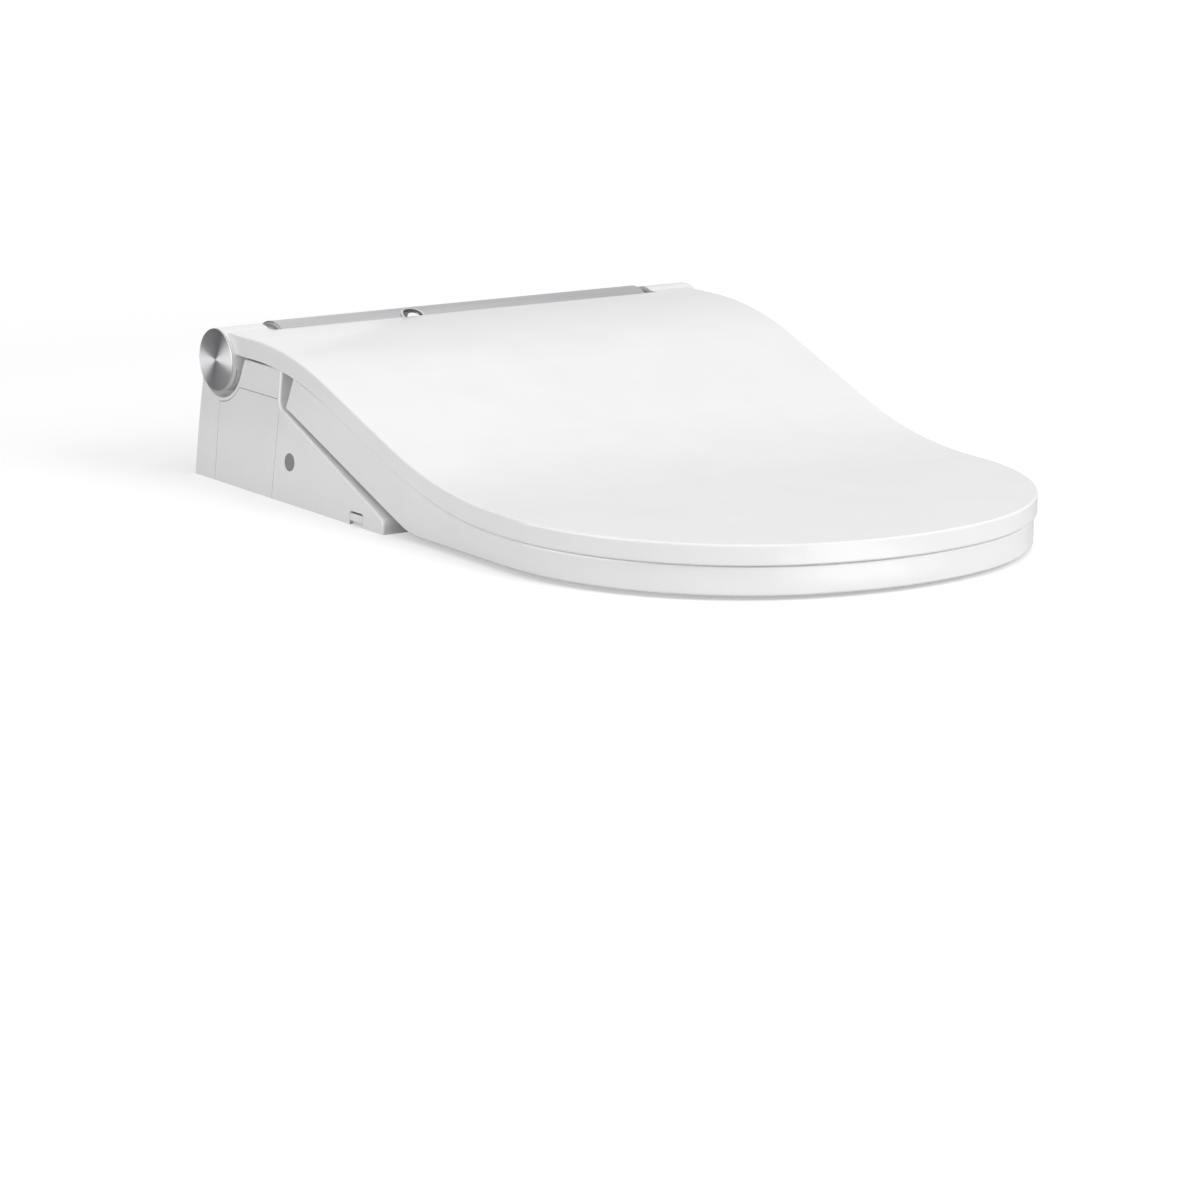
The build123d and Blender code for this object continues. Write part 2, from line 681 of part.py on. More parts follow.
def grown_box(part, by):
    """Box a little larger than the part's own bounds."""
    bounds = part.bounding_box()
    return Pos(*bounds.center()) * Box(*(bounds.size + Vector(2 * by, 2 * by, 2 * by)))


def base_plate():
    """Plate bolted to the bowl: two slots, side rails, pockets against warping."""
    half_x, half_b = PLATE_HALF
    span = (SLOTS_FROM_BACK - half_b, SLOTS_FROM_BACK + half_b)
    plate = box((-half_x, half_x), span, (0, PLATE_TOP))
    plate = fillet(plate.edges().filter_by(Axis.Z), 8)
    plate -= box((-48, 48), (span[0] + 8, span[1] - 8), (2.5, 20))
    plate -= both_sides(box((half_x - 8, half_x + 5), (span[0] + 10, span[1] + 5), (-1, 2.5)))
    for hand in (-1, 1):
        slot = Pos(hand * SLOT_SPACING / 2, 0, -1) * extrude(SlotOverall(SLOT_LENGTH, 2 * SLOT_R), 20)
        plate -= slot
    return plate


def spray_wand():
    """Wand, its tip, the guide it runs in and the motor beside it."""
    tip_back = -WAND_TIP
    tube = wand_bar(WAND_R, -WAND_LENGTH, tip_back)
    add("wand_tube", tube - wand_bar(WAND_BORE_R, -WAND_LENGTH - 1, tip_back - WAND_PLUG))
    tip = wand_bar(WAND_R, tip_back, 0)
    tip = fillet(tip.edges().group_by(Axis.Y)[0], WAND_TIP_EDGE_R)
    for place in WAND_JETS:
        tip -= wand_plane() * Pos(0, -WAND_R, place) * Rot(90, 0, 0) * Cylinder(WAND_JET_R, WAND_JET_DEEP)
    add("wand_tip", tip)
    guide = wand_bar(GUIDE_R, *GUIDE_SPAN)
    guide += box(GUIDE_FOOT_X, GUIDE_FOOT_B, (FLOOR[1], GUIDE_FOOT_TOP))
    guide += box(GUIDE_BRACKET_X, GUIDE_BRACKET_B, GUIDE_BRACKET_Z)
    guide -= wand_bar(WAND_R + WAND_ROOM, -WAND_LENGTH - 20, 20)
    add("wand_guide", guide)
    motor = rod_x(WAND_MOTOR_R, *WAND_MOTOR_X, *WAND_MOTOR_AT)
    motor += rod_x(WAND_MOTOR_CAP_R, WAND_MOTOR_CAP_X, WAND_MOTOR_X[0], *WAND_MOTOR_AT)
    add("wand_motor", motor)


def hinge_drive(hand):
    """Geared motor inside the barrel that turns one shaft."""
    end = BARREL_END - HOUSE_WALL
    drive = rod_x(GEARBOX_R, GEARBOX_X, end) + rod_x(HINGE_MOTOR_R, HINGE_MOTOR_X, GEARBOX_X)
    drive += rod_x(HINGE_TAIL_R, HINGE_TAIL_X, HINGE_MOTOR_X)
    drive -= rod_x(SHAFT_R + RUNNING_GAP, SHAFT_SPAN[0] - 1, end + 1)
    return drive if hand > 0 else mirror(drive, about=Plane.YZ)


def water_side():
    """Inlet fitting, valve, heater, pump and selector on the floor."""
    floor = FLOOR[1]
    x, z = INLET_AT
    fitting = rod_y(INLET_R, INLET_AT, *INLET_B) + rod_y(INLET_FLANGE_R, INLET_AT, INLET_B[1], INLET_FLANGE_B)
    add("water_inlet", fitting - rod_y(INLET_BORE_R, INLET_AT, INLET_B[0] - 1, INLET_BORE_END_B))
    valve_top = z + VALVE_HALF
    valve = box((x - VALVE_HALF, x + VALVE_HALF), VALVE_B, (floor, valve_top))
    valve += rod_z(VALVE_COIL_R, x, VALVE_COIL_B, valve_top, valve_top + VALVE_COIL_HIGH)
    add("inlet_valve", valve)
    heater = box(HEATER_X, HEATER_B, (floor, HEATER_TOP))
    heater = fillet(heater.edges().filter_by(Axis.X), HEATER_CORNER)
    for port in HEATER_PORTS:
        heater += rod_z(PORT_R, port, sum(HEATER_B) / 2, HEATER_TOP, HEATER_TOP + PORT_HIGH)
    add("water_heater", heater)
    pump = box(PUMP_X, PUMP_B, (floor, PUMP_TOP)) + rod_x(PUMP_CAN_R, *PUMP_X, sum(PUMP_B) / 2, PUMP_CAN_Z)
    add("air_pump", pump)
    selector = rod_z(SELECTOR_R, *SELECTOR_AT, floor, SELECTOR_TOP)
    selector += rod_z(SELECTOR_MOTOR_R, *SELECTOR_AT, SELECTOR_TOP, SELECTOR_MOTOR_TOP)
    selector += rod_x(SELECTOR_SPOUT_R, *SELECTOR_SPOUT_X, SELECTOR_AT[1], SELECTOR_SPOUT_Z)
    add("flow_selector", selector)


def blower(x, place, name):
    """Blower: scroll housing with a round inlet, a wheel with straight blades, and the motor it returns."""
    b, z, r = place
    wall, low = SCROLL_WALL, z - r
    scroll = rod_x(r, *x, b, z) + box(x, (b, b + r + SCROLL_NOSE), (low, low + SCROLL_MOUTH))
    scroll += box(x, (b - SCROLL_FOOT_HALF, b + SCROLL_FOOT_HALF), (FLOOR[1], low + 2 * wall))
    inside = (x[0] + wall, x[1] - wall)
    room = rod_x(r - wall, *inside, b, z)
    room += box(inside, (b, b + r + 20), (low + wall, low + SCROLL_MOUTH - wall))
    scroll -= room + rod_x(r * BLOWER_EYE, x[0] - 1, x[0] + 2 * wall, b, z)
    axle_hole = BLOWER_AXLE_R + BLOWER_AXLE_ROOM
    scroll -= rod_x(axle_hole, x[1] - 2 * wall, x[1] + 1, b, z)
    add(name + "_housing", scroll)
    back = x[1] - WHEEL_SET_BACK
    wheel = rod_x(r - WHEEL_GAP, back - WHEEL_DISC, back, b, z)
    wheel += rod_x(WHEEL_GAP, x[0] + WHEEL_GAP, back, b, z)
    blade = box((x[0] + WHEEL_GAP, x[1] - WHEEL_GAP), (b - BLADE_HALF, b + BLADE_HALF),
                (z + r * BLADE_ROOT, z + r - WHEEL_GAP))
    for turn in range(BLADES):
        spin = Pos(0, fore(b), z) * Rot(360 / BLADES * turn, 0, 0) * Pos(0, -fore(b), -z)
        wheel += spin * blade
    wheel += rod_x(BLOWER_AXLE_R, back, x[1], b, z)
    add(name + "_wheel", wheel)
    motor = rod_x(r * BLOWER_MOTOR, x[1], x[1] + BLOWER_MOTOR_LONG, b, z)
    return motor - rod_x(axle_hole, x[1] - 1, x[1] + 2 * wall, b, z)


def dryer():
    """Warm-air blower, its duct with the heating coil."""
    x, z = DRYER_MOUTH
    duct_x = (x[0] - 1, x[1] + 1)
    add("dryer_motor", blower(duct_x, DRYER_BLOWER, "dryer"))
    start = DRYER_BLOWER[0] + DRYER_BLOWER[2] + SCROLL_NOSE
    duct = box(duct_x, (start, DRYER_DUCT_END_B), (z[0] - DUCT_WALL, z[1] + DUCT_WALL))
    duct -= box(x, (start - 1, DRYER_DUCT_END_B + 1), z)
    duct -= oval_prism(BOWL_B, BOWL_HALF, HOUSE_WALL, -30, 130)
    duct += box((x[0] + 8, x[0] + 12), (120, 130), (FLOOR[1], z[0] - DUCT_WALL))
    add("dryer_duct", duct)
    coil_z = (z[0] + DRYER_COIL_GAP, z[1] - DRYER_COIL_GAP)
    coil = Part()
    for row in range(DRYER_COIL_ROWS):
        b = DRYER_COIL_B + DRYER_COIL_PITCH * row
        coil += box(x, (b, b + DRYER_COIL_WIRE), coil_z)
    coil += box((x[0], x[0] + 1), (DRYER_COIL_B, b + DRYER_COIL_WIRE), coil_z)
    add("dryer_heater", coil)


def flap_place():
    """Place of the flap's pivot: square to the curved front wall, just clear of it."""
    x = sum(DRYER_MOUTH[0]) / 2
    reach = math.sqrt(1 - (x / BOWL_HALF[0]) ** 2)
    wall_b = BOWL_B - BOWL_HALF[1] * reach
    turn = math.degrees(math.atan(BOWL_HALF[1] * x / BOWL_HALF[0] ** 2 / reach))
    return Pos(x, fore(wall_b), FLAP_PIVOT_Z) * Rot(0, 0, -turn) * Pos(0, -FLAP_GAP, 0)


def flap_half():
    """Half the flap's width."""
    return (DRYER_MOUTH[0][1] - DRYER_MOUTH[0][0]) / 2 + 1


def flap_ears():
    """Two ears on the front wall that hold the flap's pin."""
    ears = Part()
    for hand in (-1, 1):
        middle = hand * (flap_half() + FLAP_ROOM + FLAP_EAR / 2)
        ears += Pos(middle, FLAP_EAR_SHIFT, 0) * Box(FLAP_EAR, *FLAP_EAR_SIZE)
    ears -= Pos(0, -FLAP_THICK / 2, 0) * Rot(0, 90, 0) * Cylinder(FLAP_PIN_R + RUNNING_GAP, 60)
    return flap_place() * ears


def dryer_flap():
    """Flap that hangs over the warm-air outlet."""
    half = flap_half()
    drop = FLAP_PIVOT_Z - DRYER_MOUTH[1][0] + 1
    leaf = Pos(0, -FLAP_THICK / 2, -drop / 2) * Box(2 * half, FLAP_THICK, drop)
    pin = Pos(0, -FLAP_THICK / 2, 0) * Rot(0, 90, 0) * Cylinder(FLAP_PIN_R, 2 * (half + FLAP_EAR) + FLAP_ROOM)
    return flap_place() * (leaf + pin)


def odour_side():
    """Odour blower and the pull-out filter cartridge on the right."""
    add("odour_motor", blower(ODOUR_BLOWER_X, ODOUR_BLOWER, "odour"))
    face_x = HOUSE_HALF - sum(CARTRIDGE_Z) / 2 * math.tan(math.radians(HOUSE_DRAFT))
    back_b, front_b = CARTRIDGE_B
    low, high = CARTRIDGE_Z
    cartridge = box((CARTRIDGE_INNER, face_x), CARTRIDGE_B, CARTRIDGE_Z)
    tray = box((CARTRIDGE_INNER - TRAY_WALL, TRAY_OUTER), (back_b - TRAY_WALL, front_b + TRAY_WALL),
               (FLOOR[1], high + TRAY_WALL))
    room = CARTRIDGE_ROOM
    tray -= box((CARTRIDGE_INNER - room, TRAY_OUTER + room), (back_b - room, front_b + room),
                (low - room, high + room))
    slot, pitch = CARTRIDGE_SLOT
    for row in range(CARTRIDGE_SLOTS):
        x = CARTRIDGE_INNER + slot + pitch * row
        cartridge -= box((x, x + slot), (back_b + CARTRIDGE_FRAME, front_b - CARTRIDGE_FRAME), (0, 60))
    deep, inset = CARTRIDGE_GRIP
    cartridge -= box((face_x - deep, face_x + 2), (back_b + inset, front_b - inset),
                     (low + CARTRIDGE_GRIP_Z[0], high - CARTRIDGE_GRIP_Z[1]))
    add("filter_cartridge", cartridge)
    add("filter_tray", tray)


def odour_duct():
    """Duct from the odour mouth to the round inlet of its blower."""
    x, z = ODOUR_MOUTH
    blower_x = ODOUR_BLOWER_X[0]
    back, front = ODOUR_DUCT_B
    deep, top = ODOUR_DUCT_BOX
    end = DUCT_FLOOR
    duct = box((x[0] - DUCT_WALL, blower_x), ODOUR_DUCT_B, (FLOOR[1], z[1] + DUCT_WALL))
    duct += box((x[0] - DUCT_WALL, blower_x), (back, back + deep), (FLOOR[1], top))
    duct -= box(x, (back + end, front + 1), z)
    duct -= box((x[0], blower_x + 1), (back + end, back + deep - end), (z[0], top - end))
    return duct - oval_prism(BOWL_B, BOWL_HALF, HOUSE_WALL, -30, 130)


def electronics():
    """Boards on the floor and the gland of the mains lead."""
    floor = FLOOR[1]
    control = box(CONTROL_X, (CONTROL_B, CONTROL_B + BOARD_THICK), (floor, CONTROL_TOP))
    for (x, z), deep in ((CONTROL_RELAY, RELAY_DEEP), (CONTROL_CHIP, CHIP_DEEP)):
        control += box(x, (CONTROL_B - deep, CONTROL_B), z)
    add("control_board", control)
    power = box(POWER_X, (POWER_B, POWER_B + BOARD_THICK), (floor, POWER_TOP))
    for (x, z), deep in ((POWER_COIL, COIL_DEEP), (POWER_CAPACITOR, CAPACITOR_DEEP)):
        power += box(x, (POWER_B - deep, POWER_B), z)
    add("power_board", power)
    gland = rod_y(GLAND_R, GLAND_AT, *GLAND_B)
    gland += rod_y(GLAND_R + GLAND_COLLAR, GLAND_AT, GLAND_COLLAR_B, GLAND_B[1])
    add("cord_gland", gland - rod_y(GLAND_BORE_R, GLAND_AT, GLAND_B[0] - 1, GLAND_B[1] + 1))


add("lid_shell", lid())
add("lid_buffers", lid_buffers())
add("hinge_cap_left", hinge_cap(-1))
add("hinge_cap_right", hinge_cap(1))
add("hinge_shaft_left", shaft(-1))
add("hinge_shaft_right", shaft(1))
add("seat_upper", seat_upper())
add("seat_lower", seat_lower())
add("seat_heater", seat_heater())
add("seat_buffers", seat_buffers())
housing()
add("trim_strip", trim_strip())
add("sensor_bezel", sensor_disc(SENSOR_R, SENSOR_PROUD_R) - sensor_disc(SENSOR_LENS_R, SENSOR_PROUD_R))
sensor_cover = sensor_disc(SENSOR_COVER_R, SENSOR_COVER_PROUD_R, SENSOR_COVER_LOWER)
add("sensor_cover", sensor_cover)
add("sensor_lens", sensor_disc(SENSOR_LENS_R, SENSOR_LENS_PROUD_R) - sensor_cover)
add("base_plate", base_plate())
add("lid_drive", hinge_drive(-1))
add("seat_drive", hinge_drive(1))
spray_wand()
water_side()
dryer()
add("dryer_flap", dryer_flap())
odour_side()
add("odour_duct", odour_duct())
electronics()

for name, part in NODES.items():
    export_step(part, f"parts/{name}.step")
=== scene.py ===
import json
import math

import bpy
from mathutils import Matrix, Vector


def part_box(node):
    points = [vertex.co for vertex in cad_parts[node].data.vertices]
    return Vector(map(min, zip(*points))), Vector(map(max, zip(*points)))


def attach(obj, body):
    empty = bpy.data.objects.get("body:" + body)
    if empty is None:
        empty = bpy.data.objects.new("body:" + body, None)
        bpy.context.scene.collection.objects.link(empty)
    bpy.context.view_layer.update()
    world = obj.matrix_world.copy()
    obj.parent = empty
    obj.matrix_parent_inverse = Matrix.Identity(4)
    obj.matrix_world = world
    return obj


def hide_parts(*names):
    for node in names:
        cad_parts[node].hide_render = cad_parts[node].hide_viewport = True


# Looks of an electric bidet seat. Metres, in the frame of the CAD model: the front is -Y, Z is up, the
# origin lies midway between the fixing slots on the rim plane.
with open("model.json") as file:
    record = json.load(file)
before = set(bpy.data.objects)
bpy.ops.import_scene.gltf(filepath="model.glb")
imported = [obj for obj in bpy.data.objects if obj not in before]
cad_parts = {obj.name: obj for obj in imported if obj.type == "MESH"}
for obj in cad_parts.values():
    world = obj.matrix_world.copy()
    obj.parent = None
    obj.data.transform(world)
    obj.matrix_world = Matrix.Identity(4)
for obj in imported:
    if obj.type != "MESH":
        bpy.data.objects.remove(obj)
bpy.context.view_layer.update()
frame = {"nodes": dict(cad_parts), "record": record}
nodes = frame["nodes"]
MM = 0.001

# Hinge axis of lid and seat, and the back face of the housing
HINGE_Y = 34.4 * MM
HINGE_Z = 81.4 * MM
BACK_Y = 60.0 * MM

# Values between which most of a noise pattern lies
NOISE_LOW, NOISE_HIGH = 0.3, 0.7
# Turn, in rounds, that lays a metal's lines along the tangent, and the slight spiral of the cap's rings
ALONG_TANGENT, SWIRL = 0.25, 0.03
# Edges sharper than this stay sharp
SMOOTH_BELOW = math.radians(35)


def linear(colour):
    """Linear RGBA of an sRGB hex value."""
    parts = [int(colour[i:i + 2], 16) / 255 for i in (1, 3, 5)]
    return [p / 12.92 if p <= 0.04045 else ((p + 0.055) / 1.055) ** 2.4 for p in parts] + [1.0]


def put(tree, kind, inputs=None, **settings):
    """Adds a node; an input is given a value or the socket that feeds it."""
    made = tree.nodes.new("ShaderNode" + kind)
    for name, value in settings.items():
        setattr(made, name, value)
    for name, value in (inputs or {}).items():
        if isinstance(value, bpy.types.NodeSocket):
            tree.links.new(value, made.inputs[name])
        else:
            made.inputs[name].default_value = value
    return made


def start_material(name):
    """New material without nodes, and its node tree."""
    material = bpy.data.materials.new(name)
    material.use_nodes = True
    material.node_tree.nodes.clear()
    return material, material.node_tree


def close_material(tree, shader):
    """Joins the shader to the output."""
    put(tree, "OutputMaterial", {"Surface": shader.outputs[0]})


def object_point(tree):
    """Object coordinates, which are the frame's metres."""
    return put(tree, "TexCoord").outputs["Object"]


def moulded(name, light, dark, rough, grain_mm, cloud_mm=45.0, peel=0.02, coat=0.0):
    """Moulded plastic: cloudy colour within a shade, and a grain drawn coarse enough to show."""
    material, tree = start_material(name)
    point = object_point(tree)
    cloud = put(tree, "TexNoise", {"Vector": point, "Scale": 1 / (cloud_mm * MM), "Detail": 2.0})
    shade = put(tree, "ValToRGB", {"Fac": cloud.outputs["Fac"]})
    shade.color_ramp.elements[0].position = NOISE_LOW
    shade.color_ramp.elements[0].color = linear(dark)
    shade.color_ramp.elements[1].position = NOISE_HIGH
    shade.color_ramp.elements[1].color = linear(light)
    grain = put(tree, "TexNoise", {"Vector": point, "Scale": 1 / (grain_mm * MM), "Detail": 3.0})
    gloss = put(tree, "MapRange", {
        "Value": grain.outputs["Fac"], "From Min": NOISE_LOW, "From Max": NOISE_HIGH,
        "To Min": rough * 0.95, "To Max": rough * 1.05})
    relief = put(tree, "Bump", {"Height": grain.outputs["Fac"], "Strength": peel, "Distance": 0.1 * MM})
    shader = put(tree, "BsdfPrincipled", {
        "Base Color": shade.outputs["Color"], "Roughness": gloss.outputs["Result"],
        "Normal": relief.outputs["Normal"], "IOR": 1.49, "Coat Weight": coat, "Coat Roughness": 0.05})
    close_material(tree, shader)
    return material


def brushed(name, light, dark, rough, along, line_mm=0.25, run_mm=60.0, aniso=0.6):
    """Brushed metal: lines along one axis, 0 for X, 1 for Y, 2 for Z, drawn coarse enough to show."""
    material, tree = start_material(name)
    point = object_point(tree)
    scale = [1 / (line_mm * MM)] * 3
    scale[along] = 1 / (run_mm * MM)
    lines = put(tree, "Mapping", {"Vector": point, "Scale": scale})
    noise = put(tree, "TexNoise", {"Vector": lines.outputs["Vector"], "Scale": 1.0, "Detail": 4.0})
    shade = put(tree, "ValToRGB", {"Fac": noise.outputs["Fac"]})
    shade.color_ramp.elements[0].position = NOISE_LOW
    shade.color_ramp.elements[0].color = linear(dark)
    shade.color_ramp.elements[1].position = NOISE_HIGH
    shade.color_ramp.elements[1].color = linear(light)
    gloss = put(tree, "MapRange", {"Value": noise.outputs["Fac"], "To Min": rough * 0.8,
                                   "To Max": rough * 1.2})
    relief = put(tree, "Bump", {"Height": noise.outputs["Fac"], "Strength": 0.08, "Distance": 0.05 * MM})
    direction = [0.0, 0.0, 0.0]
    direction[along] = 1.0
    way = put(tree, "VectorTransform", {"Vector": direction}, vector_type="VECTOR", convert_from="OBJECT",
              convert_to="WORLD")
    shader = put(tree, "BsdfPrincipled", {
        "Base Color": shade.outputs["Color"], "Roughness": gloss.outputs["Result"], "Metallic": 1.0,
        "Anisotropic": aniso, "Anisotropic Rotation": ALONG_TANGENT, "Normal": relief.outputs["Normal"],
        "Tangent": way.outputs["Vector"]})
    close_material(tree, shader)
    return material


def spun(name, light, dark, rough, ring_mm=0.15):
    """Spun metal: rings about the hinge axis, coarse enough to show, that spread highlights into fans."""
    material, tree = start_material(name)
    point = object_point(tree)
    centred = put(tree, "Mapping", {"Vector": point, "Location": (0, -HINGE_Y, -HINGE_Z)},
                  vector_type="POINT")
    flat = put(tree, "VectorMath", {0: centred.outputs["Vector"], 1: (0, 1, 1)}, operation="MULTIPLY")
    radius = put(tree, "VectorMath", {0: flat.outputs["Vector"]}, operation="LENGTH")
    rings = put(tree, "TexNoise", {"W": radius.outputs["Value"], "Scale": 1 / (ring_mm * MM),
                                   "Detail": 3.0}, noise_dimensions="1D")
    shade = put(tree, "ValToRGB", {"Fac": rings.outputs["Fac"]})
    shade.color_ramp.elements[0].position = NOISE_LOW
    shade.color_ramp.elements[0].color = linear(dark)
    shade.color_ramp.elements[1].position = NOISE_HIGH
    shade.color_ramp.elements[1].color = linear(light)
    relief = put(tree, "Bump", {"Height": rings.outputs["Fac"], "Strength": 0.1, "Distance": 0.05 * MM})
    round_way = put(tree, "VectorMath", {0: (1, 0, 0), 1: flat.outputs["Vector"]},
                    operation="CROSS_PRODUCT")
    way = put(tree, "VectorTransform", {"Vector": round_way.outputs["Vector"]}, vector_type="VECTOR",
              convert_from="OBJECT", convert_to="WORLD")
    shader = put(tree, "BsdfPrincipled", {
        "Base Color": shade.outputs["Color"], "Roughness": rough, "Metallic": 1.0, "Anisotropic": 0.9,
        "Anisotropic Rotation": ALONG_TANGENT + SWIRL, "Normal": relief.outputs["Normal"],
        "Tangent": way.outputs["Vector"]})
    close_material(tree, shader)
    return material


# White ABS of the housing and lid, polished in the mould: cool white, sharp gloss
white_abs = moulded("white_abs_polished", "#f1f1f1", "#eeeeee", 0.20, 0.8, peel=0.008, coat=0.2)
# White polypropylene of the seat: the same white, a little softer in gloss
seat_pp = moulded("white_polypropylene", "#f1f1f1", "#eeeeee", 0.22, 0.8, peel=0.004, coat=0.15)
# Light grey polypropylene of the parts below, with a fine matt grain
grey_pp = moulded("grey_polypropylene", "#b9bbbd", "#adafb1", 0.55, 0.5, peel=0.15)
# Off-white nylon of the inner parts, moulded: a warm white with a dull sheen
inner_nylon = moulded("off_white_nylon", "#dcdad3", "#d2d0c8", 0.5, 0.5, peel=0.1)
# Grey thermoplastic rubber of the buffers and seals, moulded: dull all over
buffer_tpe = moulded("grey_soft_rubber", "#b4b5b6", "#a7a8a9", 0.75, 0.4, peel=0.2)
# Dark acrylic in front of the sensor, clear gloss
lens_acrylic = moulded("infrared_acrylic", "#5b5c5e", "#525355", 0.08, 1.2, peel=0.005)
# Smoked acrylic of the receiver window, moulded: an even grey under a gloss
window_acrylic = moulded("smoked_acrylic", "#8a8b8c", "#838485", 0.15, 1.0, peel=0.005)
# Dark grey nylon of the filter's cartridge, moulded: matt, with a visible grain
filter_nylon = moulded("dark_grey_nylon", "#4a4a4c", "#3c3c3e", 0.6, 0.5, peel=0.15)
# Glass-fibre board under green solder mask: deep green, satin
board_mask = moulded("green_solder_mask", "#1d5c34", "#164a29", 0.35, 0.9, peel=0.05)
# Aluminium trim, brushed lengthwise and clear anodised: fine lines, highlights drawn out across them
strip_aluminium = brushed("brushed_aluminium_lengthwise", "#d4d4d6", "#bbbbbe", 0.32, 0)
# Aluminium cap, turned on its face: light and dark fans that meet in the middle
cap_aluminium = spun("spun_aluminium", "#cfcfd1", "#c2c2c5", 0.40)
# Stainless steel of shafts, wand tube and screws, ground: fine lines along X and a soft shine
ground_steel = brushed("ground_stainless_steel", "#bcbcbd", "#a2a2a4", 0.25, 0, line_mm=0.2)
# Zinc-plated sheet of the motor cans: a mottled, satin grey
motor_zinc = brushed("zinc_plated_sheet", "#a9aaad", "#8f9094", 0.4, 1, line_mm=0.6, run_mm=4.0, aniso=0.0)
# Aluminium foil of the heaters, etched: bright, with a soft and patchy shine
heater_foil = brushed("aluminium_foil", "#cfcfd0", "#b5b5b7", 0.35, 1, line_mm=1.5, run_mm=3.0, aniso=0.0)
# Chrome plate of the sensor's arch: nearly a mirror
chrome = brushed("chrome_plate", "#dcdcde", "#d4d4d6", 0.08, 0, line_mm=0.5, run_mm=5.0, aniso=0.0)

# Finish of each material slot; the hinge caps are spun, though they share the strip's slot
FINISH = {
    "white_plastic": white_abs, "seat_plastic": seat_pp, "grey_plastic": grey_pp,
    "buffer_rubber": buffer_tpe, "brushed_trim": strip_aluminium, "chrome_trim": chrome,
    "dark_lens": lens_acrylic, "smoked_window": window_acrylic, "shaft_steel": ground_steel,
    "heater_foil": heater_foil, "board": board_mask, "filter_mesh": filter_nylon,
    "motor_case": motor_zinc, "inner_plastic": inner_nylon,
}
SPUN_NODES = ("hinge_cap_left", "hinge_cap_right")
for part in frame["record"]["subparts"]:
    finish = cap_aluminium if part["node"] in SPUN_NODES else FINISH[part["material_slot"]]
    cad = nodes[part["node"]]
    cad.data.materials.clear()
    cad.data.materials.append(finish)


def fore(mm):
    """Y of a place so many millimetres forward of the housing's back face."""
    return BACK_Y - mm * MM


def start_piece(name):
    """Names the piece just added and puts its place into its mesh."""
    piece = bpy.context.object
    piece.name = piece.data.name = name
    bpy.ops.object.transform_apply(location=True, rotation=True, scale=True)
    return piece


def pick_faces(piece, wanted):
    """Opens the piece with only the wanted faces selected."""
    bpy.ops.object.mode_set(mode="EDIT")
    bpy.ops.mesh.select_mode(type="FACE")
    bpy.ops.mesh.select_all(action="DESELECT")
    bpy.ops.object.mode_set(mode="OBJECT")
    for face in piece.data.polygons:
        face.select = wanted(face)
    bpy.ops.object.mode_set(mode="EDIT")


def pick_upright_edges(piece):
    """Opens the piece with only its upright edges selected."""
    bpy.ops.object.mode_set(mode="EDIT")
    bpy.ops.mesh.select_mode(type="EDGE")
    bpy.ops.mesh.select_all(action="DESELECT")
    bpy.ops.object.mode_set(mode="OBJECT")
    for edge in piece.data.edges:
        one, two = (piece.data.vertices[v].co for v in edge.vertices)
        edge.select = (one - two).xy.length < 0.001 * MM
    bpy.ops.object.mode_set(mode="EDIT")


def soften_rim(offset, segments):
    """Rounds the outline of the selected faces."""
    bpy.ops.mesh.region_to_loop()
    bpy.ops.mesh.bevel(offset=offset, segments=segments)


def close_piece(piece):
    """Leaves edit mode and shades by angle."""
    bpy.ops.object.mode_set(mode="OBJECT")
    bpy.ops.object.shade_smooth_by_angle(angle=SMOOTH_BELOW)
    return piece


def copy_to(pattern, place, turn=0.0):
    """Copy of a piece with its own mesh, turned about Z and moved."""
    made = pattern.copy()
    made.data = pattern.data.copy()
    made.data.transform(Matrix.Translation(place) @ Matrix.Rotation(math.radians(turn), 4, "Z"))
    bpy.context.scene.collection.objects.link(made)
    return made


def join_pieces(name, pieces):
    """Joins pieces into one object."""
    bpy.ops.object.select_all(action="DESELECT")
    for piece in pieces:
        piece.select_set(True)
    bpy.context.view_layer.objects.active = pieces[0]
    bpy.ops.object.join()
    joined = bpy.context.object
    joined.name = joined.data.name = name
    return joined


def dress(piece, material, slot, body, *replaced):
    """Finish and body of a new piece, and the nodes that it stands for. The slot is not used."""
    piece.data.materials.clear()
    piece.data.materials.append(material)
    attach(piece, body)
    if replaced:
        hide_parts(*replaced)


def drop(piece):
    """Removes a pattern or a cutter once it is used."""
    bpy.data.objects.remove(piece, do_unlink=True)


def cut_away(piece, cutter):
    """Takes the cutter's shape out of a piece."""
    cut = piece.modifiers.new(cutter.name, "BOOLEAN")
    cut.object = cutter
    bpy.context.view_layer.objects.active = piece
    bpy.ops.object.modifier_apply(modifier=cut.name)
    drop(cutter)


def heights(node, x, y, reach):
    """Lowest and highest Z of a node near a place, on either hand."""
    near = [v.co.z for v in nodes[node].data.vertices
            if abs(abs(v.co.x) - x) < reach and abs(v.co.y - y) < reach]
    return min(near), max(near)


# Rubber feet under the seat: long, round at the ends, with a soft edge and a groove round the sole
FOOT_LONG, FOOT_WIDE, FOOT_EDGE = 45.6 * MM, 13.6 * MM, 0.9 * MM
FOOT_CORNER, FOOT_MERGE, FOOT_REACH = 0.499 * FOOT_WIDE, 0.2 * MM, 26 * MM
GROOVE_IN, GROOVE_WIDE, GROOVE_SLOPE, GROOVE_DEEP = 1.2 * MM, 0.8 * MM, 0.4 * MM, 0.4 * MM
# Across, forward of the back face, in millimetres, and turn in degrees
FEET = ((146.0, 312.0, 90.0), (118.0, 440.0, 52.0))


